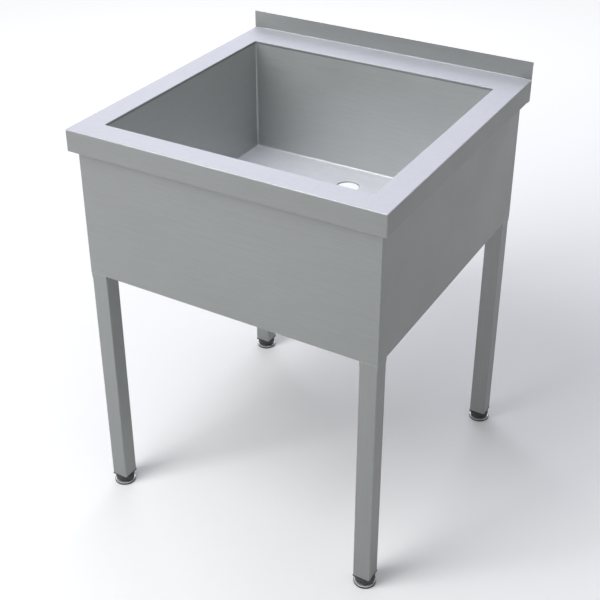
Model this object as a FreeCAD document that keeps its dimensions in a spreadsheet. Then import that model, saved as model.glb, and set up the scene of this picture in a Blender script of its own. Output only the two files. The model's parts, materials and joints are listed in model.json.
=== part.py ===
import FreeCAD, Part
import os
import Sketcher

# A free-standing stainless steel utility sink: a folded worktop with a thin rear upstand, a deep
# welded bowl with a bare drain hole, an apron on each side, and four square legs on levelling feet.
# +Z is up, +Y points to the wall behind the sink, and the origin is on the floor under its centre.

doc = FreeCAD.newDocument("UtilitySink")
sizes = doc.addObject("Spreadsheet::Sheet", "sizes")

DRIVING_SIZES = {
    # worktop
    "worktop_width": 700,
    "worktop_depth": 700,
    "worktop_height": 900,
    "top_sheet": 1.5,
    "top_bend": 1,
    "skirt_height": 48,
    "skirt_return": 13,
    "upstand_height": 40,
    "rim_side": 54,
    "rim_rear": 87,
    # rail under the worktop's rear edge
    "rail_flange": 13,
    # bowl
    "bowl_depth": 268,
    "bowl_sheet": 1.2,
    "bowl_bend": 4,
    "drain_radius": 26,
    "drain_from_back_wall": 87,
    "drain_collar": 4,
    # aprons
    "apron_inset": 15,
    "apron_sheet": 1,
    "apron_drop": 330,
    "apron_return": 12,
    # legs
    "leg_side": 38,
    "leg_wall": 1.5,
    "leg_bend": 2,
    "leg_end_height": 24,
    "cap_thickness": 2,
    # plastic insert and threaded bush in the end of each leg
    "flange_side": 39,
    "flange_thickness": 3,
    "flange_corner": 1.5,
    "plug_length": 30,
    "plug_floor": 4,
    "bush_flats": 16,
    "bush_length": 20,
    # threaded spindle of each foot
    "spindle_radius": 5,
    "spindle_reach": 56,
    "spindle_chamfer": 1,
    "neck_flats": 17,
    "neck_height": 3,
    "pivot_radius": 4,
    "rivet_radius": 5.5,
    "rivet_height": 1.1,
    # hand grip of each foot
    "grip_radius": 21.5,
    "grip_chamfer": 1.2,
    "flute_radius": 2.4,
    "flute_depth": 0.7,
    "flute_count": 18,
    # base disc and rubber pad of each foot
    "disc_radius": 23,
    "disc_thickness": 1.5,
    "disc_edge": 0.5,
    "pad_radius": 24,
    "pad_thickness": 3,
    "pad_lip": 0.5,
    "pad_chamfer": 0.6,
    # clearances
    "face_gap": 0.3,
    "slip_gap": 0.1,
    "shaft_gap": 0.05,
    "hole_gap": 0.5,
    "bowl_to_leg": 0.8,
}

for row, (alias, value) in enumerate(DRIVING_SIZES.items(), start=1):
    sizes.set(f"A{row}", alias)
    sizes.set(f"B{row}", str(value))
    sizes.setAlias(f"B{row}", alias)
doc.recompute()


def size(formula):
    """The formula, with each driving size in it named as a cell of the sheet."""
    words = formula.replace("(", " ( ").replace(")", " ) ").split()
    return " ".join("sizes." + word if word in DRIVING_SIZES else word for word in words)


def number(formula):
    """The value that a formula of driving sizes has now."""
    return float(sizes.evalExpression(size(formula)))


# Two coordinates closer than this, in mm, are the same.
TOLERANCE = 1e-4

# Places that several pieces share.
HALF_WIDTH = "worktop_width / 2"
HALF_DEPTH = "worktop_depth / 2"
UNDERSIDE = "worktop_height - top_sheet"
SKIRT_BOTTOM = "worktop_height - skirt_height"
OPENING_X = "( worktop_width / 2 - rim_side )"
RIM_FRONT = "( apron_inset + apron_sheet + leg_side + bowl_to_leg + bowl_sheet )"
OPENING_FRONT = f"( {RIM_FRONT} - worktop_depth / 2 )"
OPENING_REAR = "( worktop_depth / 2 - rim_rear )"
FLOOR_TOP = "( worktop_height - bowl_depth )"
FLOOR_UNDERSIDE = "( worktop_height - bowl_depth - bowl_sheet )"
APRON_X = "( worktop_width / 2 - apron_inset )"
APRON_Y = "( worktop_depth / 2 - apron_inset )"
APRON_BOTTOM = "( worktop_height - apron_drop )"
LEG_X = "( worktop_width / 2 - apron_inset - apron_sheet - leg_side / 2 )"
LEG_Y = "( worktop_depth / 2 - apron_inset - apron_sheet - leg_side / 2 )"
FLANGE_BOTTOM = "( leg_end_height - flange_thickness )"
GRIP_TOP = "( leg_end_height - flange_thickness - face_gap )"
DISC_TOP = "( pad_thickness + disc_thickness )"
GRIP_BOTTOM = "( pad_thickness + disc_thickness + neck_height )"
BUSH_BOTTOM = "( leg_end_height + plug_floor )"

CORNERS = {
    "front_left": (-1, -1),
    "front_right": (1, -1),
    "rear_right": (1, 1),
    "rear_left": (-1, 1),
}


def bind(thing, **formulas):
    """Ties properties of an object to formulas of the driving sizes."""
    for name, formula in formulas.items():
        thing.setExpression(name, size(str(formula)))


def new_body(label):
    body = doc.addObject("PartDesign::Body", label)
    body.Label = label
    return body


def place(body, x, y):
    """Stands a body that is drawn on its own axis at its place in the sink."""
    body.setExpression("Placement.Base.x", size(x))
    body.setExpression("Placement.Base.y", size(y))


def origin_feature(body, role):
    return next(part for part in body.Origin.OriginFeatures if part.Role == role)


def block(body, name, low, high, cut=False):
    """A rectangular block between two corners, added to the body or cut from it."""
    kind = "PartDesign::SubtractiveBox" if cut else "PartDesign::AdditiveBox"
    box = body.newObject(kind, name)
    box.AttachmentSupport = (origin_feature(body, "XY_Plane"), [""])
    box.MapMode = "FlatFace"
    for axis, side, start, end in zip("xyz", ("Length", "Width", "Height"), low, high):
        box.setExpression(f"AttachmentOffset.Base.{axis}", size(start))
        box.setExpression(side, size(f"( {end} ) - ( {start} )"))
    doc.recompute()
    return box


def column(body, name, radius, low, high, x="0", y="0", cut=False):
    """An upright round column, added to the body or cut from it."""
    kind = "PartDesign::SubtractiveCylinder" if cut else "PartDesign::AdditiveCylinder"
    cylinder = body.newObject(kind, name)
    cylinder.AttachmentSupport = (origin_feature(body, "XY_Plane"), [""])
    cylinder.MapMode = "FlatFace"
    bind(cylinder, Radius=radius, Height=f"( {high} ) - ( {low} )")
    for axis, start in zip("xyz", (x, y, low)):
        cylinder.setExpression(f"AttachmentOffset.Base.{axis}", size(start))
    doc.recompute()
    return cylinder


def hexagon(body, name, flats, low, high, cut=False):
    """An upright six-sided prism, given by its width across flats."""
    kind = "PartDesign::SubtractivePrism" if cut else "PartDesign::AdditivePrism"
    prism = body.newObject(kind, name)
    prism.AttachmentSupport = (origin_feature(body, "XY_Plane"), [""])
    prism.MapMode = "FlatFace"
    prism.Polygon = 6
    bind(prism, Circumradius=f"( {flats} ) / 3 ^ 0.5", Height=f"( {high} ) - ( {low} )")
    prism.setExpression("AttachmentOffset.Base.z", size(low))
    doc.recompute()
    return prism


def outline(body, name, role, points, height="0"):
    """A sketch of one closed outline whose corners are tied to formulas, on an origin plane."""
    sketch = body.newObject("Sketcher::SketchObject", name)
    sketch.AttachmentSupport = (origin_feature(body, role), [""])
    sketch.MapMode = "FlatFace"
    sketch.setExpression("AttachmentOffset.Base.z", size(height))
    add_loop(sketch, points)
    return sketch


def add_loop(sketch, points):
    """Adds one closed loop of straight edges to a sketch."""
    first = sketch.GeometryCount
    count = len(points)
    corners = [FreeCAD.Vector(number(x), number(y), 0) for x, y in points]
    for index in range(count):
        sketch.addGeometry(Part.LineSegment(corners[index], corners[(index + 1) % count]))
    for index in range(count):
        after = first + (index + 1) % count
        sketch.addConstraint(Sketcher.Constraint("Coincident", first + index, 2, after, 1))
    for index, (x, y) in enumerate(points):
        tie_corner(sketch, "DistanceX", first + index, x)
        tie_corner(sketch, "DistanceY", first + index, y)


def tie_corner(sketch, direction, edge, formula):
    """Ties the start of an edge to its distance from the sketch's origin."""
    value = number(formula)
    if value < 0:
        constraint = Sketcher.Constraint(direction, edge, 1, -1, 1, -value)
        formula = f"0 - ( {formula} )"
    else:
        constraint = Sketcher.Constraint(direction, -1, 1, edge, 1, value)
    index = sketch.addConstraint(constraint)
    if value:
        sketch.setExpression(f"Constraints[{index}]", size(formula))


def pad(body, name, sketch, length):
    feature = body.newObject("PartDesign::Pad", name)
    feature.Profile = sketch
    bind(feature, Length=length)
    doc.recompute()
    return feature


def turned(body, name, points):
    """A full revolution about the body's Z axis of an outline given as radius and height."""
    sketch = outline(body, name + "_outline", "XZ_Plane", points)
    feature = body.newObject("PartDesign::Revolution", name)
    feature.Profile = sketch
    feature.ReferenceAxis = (origin_feature(body, "Z_Axis"), [""])
    feature.Angle = 360
    doc.recompute()
    return feature


def edges_where(feature, wanted):
    """Names of the feature's straight edges whose two ends and direction pass the test."""
    names = []
    for index, edge in enumerate(feature.Shape.Edges, start=1):
        ends = [vertex.Point for vertex in edge.Vertexes]
        if len(ends) == 2 and wanted(ends[0], ends[1]):
            names.append(f"Edge{index}")
    return names


def near(a, b):
    return abs(a - b) < TOLERANCE


def upright(p, q):
    return near(p.x, q.x) and near(p.y, q.y)


def rounded(body, name, feature, edges, radius):
    fillet = body.newObject("PartDesign::Fillet", name)
    fillet.Base = (feature, edges)
    bind(fillet, Radius=radius)
    doc.recompute()
    return fillet


def make_worktop():
    """One folded sheet: rim with the bowl's opening, skirt on three sides, rear upstand."""
    body = new_body("worktop")
    left = f"0 - {HALF_WIDTH}"
    front = f"0 - {HALF_DEPTH}"
    inner_x = "( worktop_width / 2 - top_sheet )"
    inner_y = "( worktop_depth / 2 - top_sheet )"
    block(body, "blank", (left, front, SKIRT_BOTTOM), (HALF_WIDTH, HALF_DEPTH, "worktop_height"))
    hollow = block(body, "hollow", (f"0 - {inner_x}", f"0 - {inner_y}", f"{SKIRT_BOTTOM} - top_sheet"),
                   (inner_x, f"{HALF_DEPTH} + top_sheet", UNDERSIDE), cut=True)
    inside = rounded(body, "inner_bends", hollow, tray_edges(hollow, inner_x, inner_y, UNDERSIDE),
                     "top_bend")
    outer_edges = tray_edges(inside, HALF_WIDTH, HALF_DEPTH, "worktop_height")
    rounded(body, "outer_bends", inside, outer_edges, "top_bend + top_sheet")
    overlap_x = "( worktop_width / 2 - top_sheet / 2 )"
    overlap_y = "( worktop_depth / 2 - top_sheet / 2 )"
    return_x = "( worktop_width / 2 - top_sheet - skirt_return )"
    return_y = "( worktop_depth / 2 - top_sheet - skirt_return )"
    return_top = f"{SKIRT_BOTTOM} + top_sheet"
    block(body, "front_return", (f"0 - {overlap_x}", f"0 - {overlap_y}", SKIRT_BOTTOM),
          (overlap_x, f"0 - {return_y}", return_top))
    block(body, "left_return", (f"0 - {overlap_x}", f"0 - {overlap_y}", SKIRT_BOTTOM),
          (f"0 - {return_x}", f"{return_y} - face_gap", return_top))
    block(body, "right_return", (return_x, f"0 - {overlap_y}", SKIRT_BOTTOM),
          (overlap_x, f"{return_y} - face_gap", return_top))
    block(body, "upstand", (left, inner_y, UNDERSIDE),
          (HALF_WIDTH, HALF_DEPTH, "worktop_height + upstand_height"))
    opening = block(body, "opening", (f"0 - {OPENING_X}", OPENING_FRONT, f"{UNDERSIDE} - top_sheet"),
                    (OPENING_X, OPENING_REAR, "worktop_height + top_sheet"), cut=True)
    side = number(OPENING_X)

    def is_opening_corner(p, q):
        return upright(p, q) and near(abs(p.x), side)

    rounded(body, "opening_corners", opening, edges_where(opening, is_opening_corner), "bowl_bend")


def tray_edges(feature, half_width, half_depth, level):
    """The straight edges of a tray that is open at the rear: three at its level, two upright."""
    side = number(half_width)
    front = -number(half_depth)
    height = number(level)

    def wanted(p, q):
        along_side = near(abs(p.x), side) and near(p.x, q.x)
        along_front = near(p.y, front) and near(q.y, front)
        at_level = near(p.z, height) and near(q.z, height)
        corner = upright(p, q) and along_side and along_front
        return corner or (at_level and (along_side or along_front))

    return edges_where(feature, wanted)


def make_rear_rail():
    """A folded channel under the worktop's rear edge, between the side skirts."""
    body = new_body("rear_rail")
    end = "( worktop_width / 2 - top_sheet )"
    web_front = "( worktop_depth / 2 - top_sheet )"
    flange_front = "( worktop_depth / 2 - top_sheet - rail_flange )"
    points = [
        (HALF_DEPTH, SKIRT_BOTTOM),
        (HALF_DEPTH, UNDERSIDE),
        (flange_front, UNDERSIDE),
        (flange_front, f"{UNDERSIDE} - top_sheet"),
        (web_front, f"{UNDERSIDE} - top_sheet"),
        (web_front, f"{SKIRT_BOTTOM} + top_sheet"),
        (flange_front, f"{SKIRT_BOTTOM} + top_sheet"),
        (flange_front, SKIRT_BOTTOM),
    ]
    section = outline(body, "section", "YZ_Plane", points, height=f"0 - {end}")
    pad(body, "channel", section, f"2 * {end}")


def make_bowl():
    """Folded and welded sheet box, with a drain hole plunged through its floor."""
    body = new_body("bowl")
    outer_x = f"( {OPENING_X} + bowl_sheet )"
    block(body, "blank", (f"0 - {outer_x}", f"{OPENING_FRONT} - bowl_sheet", FLOOR_UNDERSIDE),
          (outer_x, f"{OPENING_REAR} + bowl_sheet", UNDERSIDE))
    hollow = block(body, "hollow", (f"0 - {OPENING_X}", OPENING_FRONT, FLOOR_TOP),
                   (OPENING_X, OPENING_REAR, f"{UNDERSIDE} + bowl_sheet"), cut=True)
    inside = rounded(body, "inner_bends", hollow, box_edges(hollow, OPENING_X, FLOOR_TOP), "bowl_bend")
    rounded(body, "outer_bends", inside, box_edges(inside, outer_x, FLOOR_UNDERSIDE),
            "bowl_bend + bowl_sheet")
    drain_y = f"{OPENING_REAR} - drain_from_back_wall"
    collar_bottom = f"{FLOOR_TOP} - drain_collar"
    column(body, "drain_collar", "drain_radius + bowl_sheet", collar_bottom, FLOOR_TOP, y=drain_y)
    column(body, "drain_hole", "drain_radius", f"{collar_bottom} - bowl_sheet",
           f"{FLOOR_TOP} + bowl_sheet", y=drain_y, cut=True)


def box_edges(feature, half_width, level):
    """The four upright edges of an open box, and the four at the level of its floor."""
    side = number(half_width)
    height = number(level)

    def wanted(p, q):
        corner = upright(p, q) and near(abs(p.x), side)
        return corner or (near(p.z, height) and near(q.z, height))

    return edges_where(feature, wanted)


def make_apron(label, turn, half_length, distance):
    """A mitred panel below the worktop's edge, with a bottom return between the legs.

    It is drawn as the front panel and turned about the vertical axis to its own side.
    """
    body = new_body(label)
    inner_length = f"( {half_length} - apron_sheet )"
    inner_distance = f"( {distance} - apron_sheet )"
    points = [
        (f"0 - {half_length}", f"0 - {distance}"),
        (half_length, f"0 - {distance}"),
        (inner_length, f"0 - {inner_distance}"),
        (f"0 - {inner_length}", f"0 - {inner_distance}"),
    ]
    plan = outline(body, "plan", "XY_Plane", points, height=APRON_BOTTOM)
    panel_height = f"{UNDERSIDE} - {APRON_BOTTOM}"
    pad(body, "panel", plan, panel_height)
    return_end = f"( {inner_length} - leg_side - face_gap )"
    return_depth = f"( {distance} - apron_sheet / 2 )"
    low = (f"0 - {return_end}", f"0 - {return_depth}", APRON_BOTTOM)
    high = (return_end, f"apron_return - {inner_distance}", f"{APRON_BOTTOM} + apron_sheet")
    block(body, "bottom_return", low, high)
    body.Placement = FreeCAD.Placement(
        FreeCAD.Vector(0, 0, 0),
        FreeCAD.Rotation(FreeCAD.Vector(0, 0, 1), turn),
    )


def square(half):
    low = f"0 - ( {half} )"
    return [(low, low), (half, low), (half, half), (low, half)]


def make_leg(corner, x, y):
    """A length of square tube with rounded edges, standing in the corner of the aprons."""
    body = new_body(f"{corner}_leg")
    section = outline(body, "section", "XY_Plane", square("leg_side / 2"), height="leg_end_height")
    add_loop(section, square("leg_side / 2 - leg_wall"))
    tube = pad(body, "tube", section, f"{UNDERSIDE} - cap_thickness - leg_end_height")
    outside = number("leg_side / 2")

    def is_outer_edge(p, q):
        return upright(p, q) and near(abs(p.x), outside)

    rounded(body, "tube_edges", tube, edges_where(tube, is_outer_edge), "leg_bend")
    place(body, x, y)


def make_leg_cap(corner, x, y):
    """A square plate that closes the leg's top and is welded under the worktop."""
    body = new_body(f"{corner}_leg_cap")
    plan = outline(body, "plan", "XY_Plane", square("leg_side / 2"),
                   height=f"{UNDERSIDE} - cap_thickness")
    plate = pad(body, "plate", plan, "cap_thickness")
    rounded(body, "plate_corners", plate, edges_where(plate, upright), "leg_bend")
    place(body, x, y)


def make_insert(corner, x, y):
    """A plastic plug in the leg's end, with a square flange under it and a pocket for the bush."""
    body = new_body(f"{corner}_leg_insert")
    half_flange = "flange_side / 2"
    flange = block(body, "flange", (f"0 - {half_flange}", f"0 - {half_flange}", FLANGE_BOTTOM),
                   (half_flange, half_flange, "leg_end_height"))
    rounded(body, "flange_corners", flange, edges_where(flange, upright), "flange_corner")
    half_plug = "( leg_side / 2 - leg_wall - slip_gap )"
    plug_top = "leg_end_height + plug_length"
    block(body, "plug", (f"0 - {half_plug}", f"0 - {half_plug}", "leg_end_height"),
          (half_plug, half_plug, plug_top))
    hexagon(body, "bush_pocket", "bush_flats", BUSH_BOTTOM, f"{plug_top} + slip_gap", cut=True)
    column(body, "spindle_hole", "spindle_radius + hole_gap", f"{FLANGE_BOTTOM} - slip_gap",
           f"{BUSH_BOTTOM} + slip_gap", cut=True)
    place(body, x, y)


def make_bush(corner, x, y):
    """The hexagonal threaded bush that carries the spindle."""
    body = new_body(f"{corner}_threaded_bush")
    bush_top = f"{BUSH_BOTTOM} + bush_length"
    hexagon(body, "bush", "bush_flats", BUSH_BOTTOM, bush_top)
    column(body, "thread", "spindle_radius + shaft_gap", f"{BUSH_BOTTOM} - slip_gap",
           f"{bush_top} + slip_gap", cut=True)
    place(body, x, y)


def make_spindle(corner, x, y):
    """The threaded spindle, with a hexagonal neck and a riveted pivot through the base disc."""
    body = new_body(f"{corner}_foot_spindle")
    rivet_top = "( pad_thickness - slip_gap )"
    shaft_top = "( leg_end_height + spindle_reach )"
    turned(body, "shaft", [
        ("0", f"{rivet_top} - rivet_height"),
        ("rivet_radius", f"{rivet_top} - rivet_height"),
        ("rivet_radius", rivet_top),
        ("pivot_radius", rivet_top),
        ("pivot_radius", DISC_TOP),
        ("spindle_radius", DISC_TOP),
        ("spindle_radius", f"{shaft_top} - spindle_chamfer"),
        ("spindle_radius - spindle_chamfer", shaft_top),
        ("0", shaft_top),
    ])
    hexagon(body, "neck", "neck_flats", DISC_TOP, GRIP_BOTTOM)
    place(body, x, y)


def make_grip(corner, x, y):
    """The round hand grip that is moulded on the spindle, with shallow flutes round its side."""
    body = new_body(f"{corner}_foot_grip")
    turned(body, "grip", [
        ("spindle_radius", GRIP_BOTTOM),
        ("grip_radius - grip_chamfer", GRIP_BOTTOM),
        ("grip_radius", f"{GRIP_BOTTOM} + grip_chamfer"),
        ("grip_radius", f"{GRIP_TOP} - grip_chamfer"),
        ("grip_radius - grip_chamfer", GRIP_TOP),
        ("spindle_radius", GRIP_TOP),
    ])
    flute = column(body, "flute", "flute_radius", f"{GRIP_BOTTOM} - slip_gap",
                   f"{GRIP_TOP} + slip_gap", x="grip_radius - flute_depth + flute_radius", cut=True)
    flutes = body.newObject("PartDesign::PolarPattern", "flutes")
    flutes.Originals = [flute]
    flutes.Axis = (origin_feature(body, "Z_Axis"), [""])
    flutes.Angle = 360
    bind(flutes, Occurrences="flute_count")
    body.Tip = flutes
    doc.recompute()
    place(body, x, y)


def make_disc(corner, x, y):
    """The pressed steel disc that spreads the load, free to turn on the spindle's pivot."""
    body = new_body(f"{corner}_foot_disc")
    turned(body, "disc", [
        ("pivot_radius + shaft_gap", "pad_thickness"),
        ("disc_radius", "pad_thickness"),
        ("disc_radius", f"{DISC_TOP} - disc_edge"),
        ("disc_radius - disc_edge", DISC_TOP),
        ("pivot_radius + shaft_gap", DISC_TOP),
    ])
    place(body, x, y)


def make_pad(corner, x, y):
    """The rubber pad under the disc, with a low lip round it and a recess for the rivet."""
    body = new_body(f"{corner}_foot_pad")
    recess_radius = "rivet_radius + hole_gap"
    recess_floor = "pad_thickness - slip_gap - rivet_height - slip_gap"
    turned(body, "pad", [
        ("0", "0"),
        ("pad_radius - pad_chamfer", "0"),
        ("pad_radius", "pad_chamfer"),
        ("pad_radius", "pad_thickness + pad_lip"),
        ("disc_radius + slip_gap", "pad_thickness + pad_lip"),
        ("disc_radius + slip_gap", "pad_thickness"),
        (recess_radius, "pad_thickness"),
        (recess_radius, recess_floor),
        ("0", recess_floor),
    ])
    place(body, x, y)


make_worktop()
make_rear_rail()
make_bowl()
make_apron("front_apron", 0, APRON_X, APRON_Y)
make_apron("right_apron", 90, APRON_Y, APRON_X)
make_apron("rear_apron", 180, APRON_X, APRON_Y)
make_apron("left_apron", 270, APRON_Y, APRON_X)
for corner, (x_side, y_side) in CORNERS.items():
    leg_x = f"{x_side} * {LEG_X}"
    leg_y = f"{y_side} * {LEG_Y}"
    for make in (make_leg, make_leg_cap, make_insert, make_bush, make_spindle, make_grip,
                 make_disc, make_pad):
        make(corner, leg_x, leg_y)
doc.recompute()

for thing in doc.Objects:
    faults = {"Invalid", "Error"} & set(thing.State)
    if faults:
        raise RuntimeError(f"{thing.Label} is {faults}")
pieces = [thing for thing in doc.Objects if thing.TypeId == "PartDesign::Body"]
for piece in pieces:
    if piece.Shape.isNull() or not piece.Shape.isValid() or not piece.Shape.Solids:
        raise RuntimeError(f"{piece.Label} has no valid solid")

os.makedirs("parts", exist_ok=True)
for piece in pieces:
    piece.Shape.exportStep(f"parts/{piece.Label}.step")
    bounds = piece.Shape.BoundBox
    print(f"{piece.Label}: {len(piece.Shape.Solids)} solid, {piece.Shape.Volume:.0f} mm3,",
          f"x {bounds.XMin:.2f} {bounds.XMax:.2f}, y {bounds.YMin:.2f} {bounds.YMax:.2f},",
          f"z {bounds.ZMin:.2f} {bounds.ZMax:.2f}")
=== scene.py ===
import json
from math import atan2, cos, pi, radians, sin

import bmesh
import bpy
from mathutils import Matrix, Vector


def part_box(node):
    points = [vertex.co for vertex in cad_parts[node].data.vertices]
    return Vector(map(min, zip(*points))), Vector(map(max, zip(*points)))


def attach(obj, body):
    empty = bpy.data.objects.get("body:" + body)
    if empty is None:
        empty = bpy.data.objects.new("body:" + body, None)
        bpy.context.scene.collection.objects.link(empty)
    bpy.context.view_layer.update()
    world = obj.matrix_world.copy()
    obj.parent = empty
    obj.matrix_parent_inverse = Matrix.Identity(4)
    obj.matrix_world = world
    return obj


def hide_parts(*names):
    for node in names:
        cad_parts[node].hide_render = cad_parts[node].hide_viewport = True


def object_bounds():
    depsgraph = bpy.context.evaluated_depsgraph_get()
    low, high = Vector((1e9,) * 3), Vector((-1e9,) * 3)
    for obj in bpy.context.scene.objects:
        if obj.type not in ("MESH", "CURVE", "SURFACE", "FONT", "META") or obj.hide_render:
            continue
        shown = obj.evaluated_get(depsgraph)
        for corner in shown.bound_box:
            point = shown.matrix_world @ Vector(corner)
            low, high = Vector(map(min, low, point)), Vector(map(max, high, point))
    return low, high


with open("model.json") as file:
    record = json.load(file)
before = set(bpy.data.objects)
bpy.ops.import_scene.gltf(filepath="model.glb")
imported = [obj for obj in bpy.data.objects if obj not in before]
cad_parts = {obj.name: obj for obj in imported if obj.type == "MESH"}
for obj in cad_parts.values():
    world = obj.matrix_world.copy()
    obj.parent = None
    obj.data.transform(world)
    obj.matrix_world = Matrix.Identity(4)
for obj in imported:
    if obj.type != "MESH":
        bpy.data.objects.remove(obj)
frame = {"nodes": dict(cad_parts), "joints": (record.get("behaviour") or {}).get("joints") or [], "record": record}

# A square stainless steel utility sink: folded worktop with a rear upstand, welded bowl, four
# aprons, and square legs on levelling feet. Metres, +Z up, +Y towards the wall behind the sink.

MM = 0.001
NEAR = 0.01 * MM
CORNERS = ("front_left", "front_right", "rear_right", "rear_left")

cad_low, cad_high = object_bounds()
top_low, top_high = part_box("worktop")
bowl_low, bowl_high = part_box("bowl")
apron_low, apron_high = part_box("front_apron")
leg_low, leg_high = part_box("front_left_leg")

# Sheets, bends and welds.
TOP_SHEET = 1.5 * MM
TOP_BEND = 2.5 * MM
BOWL_SHEET = 1.2 * MM
BOWL_BEND = 4 * MM
LIP_BEND = 1.6 * MM
LIP_DEPTH = 6 * MM
LIP_FIELD = 12 * MM
SKIRT_RETURN = 14.5 * MM
BEND_STEPS = 5
APRON_SHEET = 1 * MM
APRON_BEND = 1.6 * MM
APRON_CORNER = 1.2 * MM
APRON_RETURN = 13 * MM
RETURN_GAP = 0.3 * MM
LEG_WALL = 1.5 * MM
LEG_CORNER = 2.5 * MM
WELD_HEIGHT = 12 * MM
WELD_TAPER = 0.95

# Angles that tell a bend from a flat, and a hard edge from a round one.
BEND_ANGLE = radians(60)
HARD_ANGLE = radians(40)

# Levels and edges that several pieces share.
RIM = bowl_high.z + TOP_SHEET
HALF = top_high.x
SKIRT_BOTTOM = top_low.z
LIP_BOTTOM = RIM - LIP_DEPTH
OPENING_X = bowl_high.x - BOWL_SHEET
OPENING_FRONT = bowl_low.y + BOWL_SHEET
OPENING_REAR = bowl_high.y - BOWL_SHEET
DRAIN_DEPTH = 4 * MM
DRAIN_ROLL = 1.6 * MM
DRAIN_STEPS = 64
DRAIN_FIELD = 14 * MM
FLOOR = bowl_low.z + DRAIN_DEPTH
APRON_OUT = apron_high.x
APRON_BOTTOM = apron_low.z
LEG_SIDE = leg_high.x - leg_low.x
drain = next(m for m in frame["record"]["mounts"] if m["name"] == "drain_hole")
DRAIN_PLACE = Vector(drain["pos_m"])
DRAIN_RADIUS = drain["dims"]["r_mm"] * MM


# ---------------------------------------------------------------- mesh helpers

def near(a, b):
    """Whether two measures are the same, apart from rounding."""
    return abs(a - b) < NEAR


def box_mesh(low, high):
    """A closed box between two corners."""
    bm = bmesh.new()
    bmesh.ops.create_cube(bm, size=1)
    bmesh.ops.scale(bm, vec=Vector(high) - Vector(low), verts=bm.verts)
    bmesh.ops.translate(bm, vec=(Vector(low) + Vector(high)) / 2, verts=bm.verts)
    return bm


def flat_sheet(low, high):
    """A level rectangle between two corners, facing up."""
    bm = bmesh.new()
    bmesh.ops.create_grid(bm, x_segments=1, y_segments=1, size=0.5)
    size = Vector(high) - Vector(low)
    bmesh.ops.scale(bm, vec=(size.x, size.y, 1), verts=bm.verts)
    bmesh.ops.translate(bm, vec=(Vector(low) + Vector(high)) / 2, verts=bm.verts)
    return bm


def edges_where(bm, test):
    """The edges whose two ends both pass a test of their place."""
    return [edge for edge in bm.edges if all(test(vert.co) for vert in edge.verts)]


def faces_where(bm, test):
    """The faces whose middle passes a test of its place."""
    return [face for face in bm.faces if test(face.calc_center_median())]


def cut(bm, point, direction, clear=False, faces=None):
    """Cuts the mesh along a plane, and can clear what lies on its far side."""
    faces = bm.faces[:] if faces is None else faces
    parts = set(faces)
    for face in faces:
        parts.update(face.edges)
        parts.update(face.verts)
    bmesh.ops.bisect_plane(bm, geom=list(parts), plane_co=point, plane_no=direction,
                           clear_outer=clear, dist=NEAR / 10)


def fold(bm, edges, move=(0, 0, 0)):
    """Draws out a flange from open edges, and gives back its outer corners."""
    made = bmesh.ops.extrude_edge_only(bm, edges=edges)["geom"]
    verts = [part for part in made if isinstance(part, bmesh.types.BMVert)]
    bmesh.ops.translate(bm, vec=move, verts=verts)
    return verts


def round_edges(bm, edges, radius, segments=4):
    """Turns sharp edges into bends."""
    bmesh.ops.bevel(bm, geom=edges, offset=radius, offset_type="OFFSET", affect="EDGES",
                    segments=segments, profile=0.5, material=-1, clamp_overlap=True)


def round_corners(bm, verts, radius, segments=5):
    """Rounds the corners of a flat outline."""
    bmesh.ops.bevel(bm, geom=verts, offset=radius, offset_type="OFFSET", affect="VERTICES",
                    segments=segments, profile=0.5, material=-1, clamp_overlap=True)


def face_like(bm, direction):
    """Turns the whole sheet so that its level or upright faces look in the direction."""
    bmesh.ops.recalc_face_normals(bm, faces=bm.faces)
    widest = max(bm.faces, key=lambda face: face.calc_area() * abs(face.normal.dot(direction)))
    if widest.normal.dot(direction) < 0:
        bmesh.ops.reverse_faces(bm, faces=bm.faces)


def turned(outline, steps=72, closed=False):
    """A round piece: an outline of radius and height, turned about the Z axis."""
    bm = bmesh.new()
    verts = [bm.verts.new((radius, 0, height)) for radius, height in outline]
    pairs = list(zip(verts, verts[1:]))
    if closed:
        pairs.append((verts[-1], verts[0]))
    edges = [bm.edges.new(pair) for pair in pairs]
    bmesh.ops.spin(bm, geom=verts + edges, cent=(0, 0, 0), axis=(0, 0, 1), dvec=(0, 0, 0),
                   angle=2 * pi, steps=steps, use_merge=True)
    bmesh.ops.remove_doubles(bm, verts=bm.verts, dist=NEAR / 2)
    bmesh.ops.recalc_face_normals(bm, faces=bm.faces)
    return bm


def join(bm, other):
    """Adds another mesh to this one."""
    mesh = bpy.data.meshes.new("joined")
    other.to_mesh(mesh)
    other.free()
    bm.from_mesh(mesh)
    bpy.data.meshes.remove(mesh)
    return bm


def piece(name, bm, material, body, nodes=(), sheet=0, edge=0, smooth=35):
    """Makes the finished object, which rides on a body and stands for its nodes."""
    mesh = bpy.data.meshes.new(name)
    bm.to_mesh(mesh)
    bm.free()
    mesh.shade_smooth()
    mesh.set_sharp_from_angle(angle=radians(smooth))
    thing = bpy.data.objects.new(name, mesh)
    bpy.context.scene.collection.objects.link(thing)
    mesh.materials.append(material)
    if sheet:
        wall = thing.modifiers.new("sheet", "SOLIDIFY")
        wall.thickness = sheet
        wall.offset = -1
        wall.use_even_offset = True
    if edge:
        soft = thing.modifiers.new("edges", "BEVEL")
        soft.width = edge
        soft.segments = 2
        soft.limit_method = "ANGLE"
        soft.angle_limit = HARD_ANGLE
    even = thing.modifiers.new("flat_faces", "WEIGHTED_NORMAL")
    even.keep_sharp = True
    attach(thing, body)
    if nodes:
        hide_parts(*nodes)
    return thing


# ---------------------------------------------------------------- material helpers

def put(tree, kind, settings=None, inputs=None):
    """A new node. Its inputs take a value or another node's output."""
    made = tree.nodes.new(kind)
    for name, value in (settings or {}).items():
        setattr(made, name, value)
    for key, value in (inputs or {}).items():
        if isinstance(value, bpy.types.NodeSocket):
            tree.links.new(value, made.inputs[key])
        else:
            made.inputs[key].default_value = value
    return made


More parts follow.
